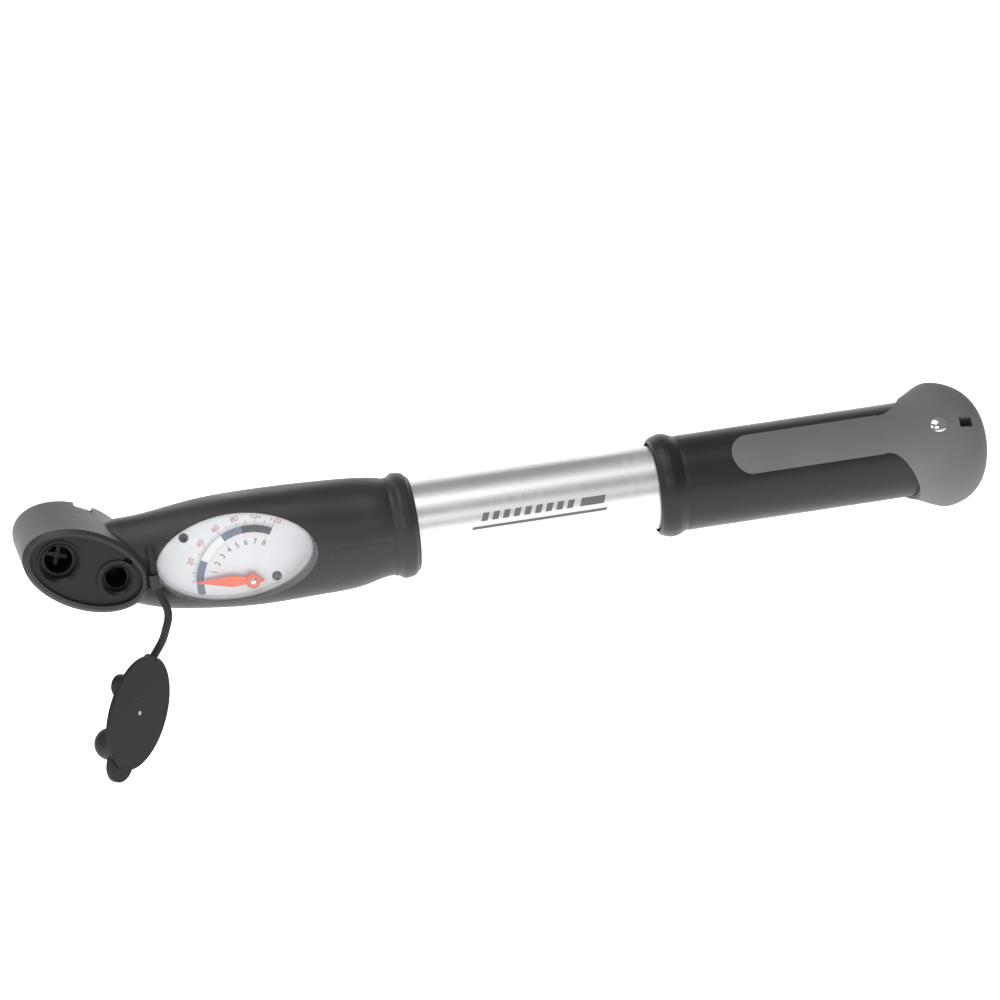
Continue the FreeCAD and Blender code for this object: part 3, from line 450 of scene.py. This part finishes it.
needle_low = Vector(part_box("gauge_needle")[0])
boss_centre = Vector((PIVOT.x, needle_low.y, PIVOT.z))
bm = bmesh.new()
lathe(bm, boss_centre, [(2.1, -0.05), (2.1, 0.35), (1.85, 0.6), (1.5, 0.62), (1.4, 0.5), (1.1, 0.5)])
finished_piece("needle_boss", bm, needle_paint, "needle")
bm = bmesh.new()
lathe(bm, boss_centre, [(0.95, 0.0), (0.95, 0.75), (0.8, 0.9), (0.4, 1.0), (0.05, 1.02)])
finished_piece("needle_pin", bm, steel, "needle")

# %% [markdown]
# ## Dial's rim
# The dial's edge is rolled up into a low silver bead, which shows through the window as a thin bright line
# just inside the casing. It could be a wire bent to an oval, but a profile swept round the oval has no joint.

# %% Dial's rim
def oval_ring(bm, centre, half_x, half_z, outline, count=96):
    """A ring round an oval: outline is (outwards, -y) in mm about the oval's line."""
    loops = []
    for k in range(count):
        a = 2 * math.pi * k / count
        out = Vector((math.cos(a) / half_x, 0, math.sin(a) / half_z)).normalized()
        line = Vector((centre.x + half_x * math.cos(a), centre.y, centre.z + half_z * math.sin(a)))
        loops.append([bm.verts.new(line + out * o * MM + Vector((0, -y * MM, 0))) for o, y in outline])
    for k in range(count):
        near, far_loop = loops[k], loops[(k + 1) % count]
        for n in range(len(outline)):
            m = (n + 1) % len(outline)
            bm.faces.new((near[n], near[m], far_loop[m], far_loop[n]))


half_x, half_z = (DIAL_HIGH.x - DIAL_LOW.x) / 2, (DIAL_HIGH.z - DIAL_LOW.z) / 2
edge_paint = ink("window_edge_silver", "#b9bbbd", "#cfd1d3")
bm = bmesh.new()
oval_ring(bm, Vector((DIAL_MID.x, DIAL_LOW.y, DIAL_MID.z)), half_x - 0.9 * MM, half_z - 0.9 * MM,
          [(-0.45, 0.02), (-0.1, 0.35), (0.45, 0.55), (0.7, 0.02)])
finished_piece("dial_rim_bead", bm, edge_paint, "pump")

# %% [markdown]
# ## Barrel's decoration
# A grey bar and a row of short strokes are pad printed on the front of the barrel. Each lies 0.03 mm off
# the tube, and it is bent round it, so it shades with the tube. It is generic, and it carries no letters.

# %% Barrel's decoration
barrel_low, barrel_high = (Vector(v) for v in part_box("barrel"))
PRINT_R = (barrel_high.z - barrel_low.z) / 2 + 0.03 * MM


def wrapped(bm, x0, x1, from_deg, to_deg, slant_mm=0.0, steps=14):
    """A patch on the barrel: degrees run from the front, -Y, upwards."""
    columns = []
    for k in range(steps + 1):
        part = k / steps
        a = math.radians(from_deg + (to_deg - from_deg) * part)
        y, z = -PRINT_R * math.cos(a), PRINT_R * math.sin(a)
        shift = slant_mm * part
        columns.append((bm.verts.new(Vector(((x0 + shift) * MM, y, z))),
                        bm.verts.new(Vector(((x1 + shift) * MM, y, z)))))
    for (a0, b0), (a1, b1) in zip(columns, columns[1:]):
        bm.faces.new((a0, b0, b1, a1))


graphic_ink = ink("graphic_grey_ink", "#5d5f63", "#67696d")
bm = bmesh.new()
wrapped(bm, -20.0, 19.0, -6.5, -2.5, 0.6)
for k in range(9):
    wrapped(bm, -17.0 + 3.1 * k, -15.2 + 3.1 * k, 4.0, 15.0, 0.9)
wrapped(bm, 11.6, 18.6, 4.0, 15.0, 0.9)
finished_piece("barrel_graphic", bm, graphic_ink, "pump")

# %% [markdown]
# ## Moulding marks
# A two-part mould leaves a fine line where its halves met, along the front of the casing. It is a narrow
# strip, dropped on the casing point by point so that it follows the curve. The cap's middle shows the small
# pale spot where its rubber entered the mould, as a turned rim round a shallow pit.

# %% Moulding marks
def surface_of(node):
    return BVHTree.FromObject(bpy.data.objects[node], bpy.context.evaluated_depsgraph_get())


def strip_on(bm, tree_of_node, spots, toward, width_mm, proud_mm):
    """A narrow raised strip through spots, each dropped on a surface along a direction."""
    line = []
    for spot in spots:
        hit, normal, _, _ = tree_of_node.ray_cast(spot - toward * 0.05, toward)
        if hit is not None:
            line.append((hit, normal))
    rows = []
    for k, (hit, normal) in enumerate(line):
        ahead = line[min(k + 1, len(line) - 1)][0] - line[max(k - 1, 0)][0]
        side = ahead.normalized().cross(normal) * width_mm * MM / 2
        sunk = normal * 0.02 * MM
        rows.append([bm.verts.new(hit - side - sunk), bm.verts.new(hit + normal * proud_mm * MM),
                     bm.verts.new(hit + side - sunk)])
    for near, far_row in zip(rows, rows[1:]):
        for n in range(2):
            bm.faces.new((near[n], near[n + 1], far_row[n + 1], far_row[n]))


casing_surface = surface_of("casing")
bm = bmesh.new()
spots = [Vector(((-62.6 + 0.6 * k) * MM, 0, (-0.9 + 0.15 * math.sin(k * 0.9)) * MM)) for k in range(34)]
strip_on(bm, casing_surface, spots, Vector((0, 1, 0)), 0.35, 0.07)
finished_piece("casing_part_line", bm, casing_abs, "pump")

CAP_MIDDLE = Vector((-120.7, -20.0, -37.4)) * MM      # the cap's middle, and the way its outer face looks
CAP_FACE = Vector((0.640, -0.768, 0.040)).normalized()
hit, normal, _, _ = surface_of("dust_cap").ray_cast(CAP_MIDDLE + CAP_FACE * 0.02, -CAP_FACE)
gate_paint = ink("gate_mark_pale", "#c9c8c2", "#9d9c97")
GATE_OUTLINE = ((0.62, -0.02), (0.5, 0.1), (0.25, 0.14), (0.22, 0.03), (0.02, 0.02))    # radius, height
GATE_SIDES = 24
side_a = CAP_FACE.orthogonal().normalized()
side_b = CAP_FACE.cross(side_a)
bm = bmesh.new()
rings = []
for r, lift in GATE_OUTLINE:
    turns = [2 * math.pi * k / GATE_SIDES for k in range(GATE_SIDES)]
    spokes = [(side_a * math.cos(a) + side_b * math.sin(a)) * r for a in turns]
    rings.append([bm.verts.new(hit + (spoke + CAP_FACE * lift) * MM) for spoke in spokes])
for lower, upper in zip(rings, rings[1:]):
    for k in range(GATE_SIDES):
        bm.faces.new((lower[k], lower[(k + 1) % GATE_SIDES], upper[(k + 1) % GATE_SIDES], upper[k]))
finished_piece("cap_gate_mark", bm, gate_paint, "cap")
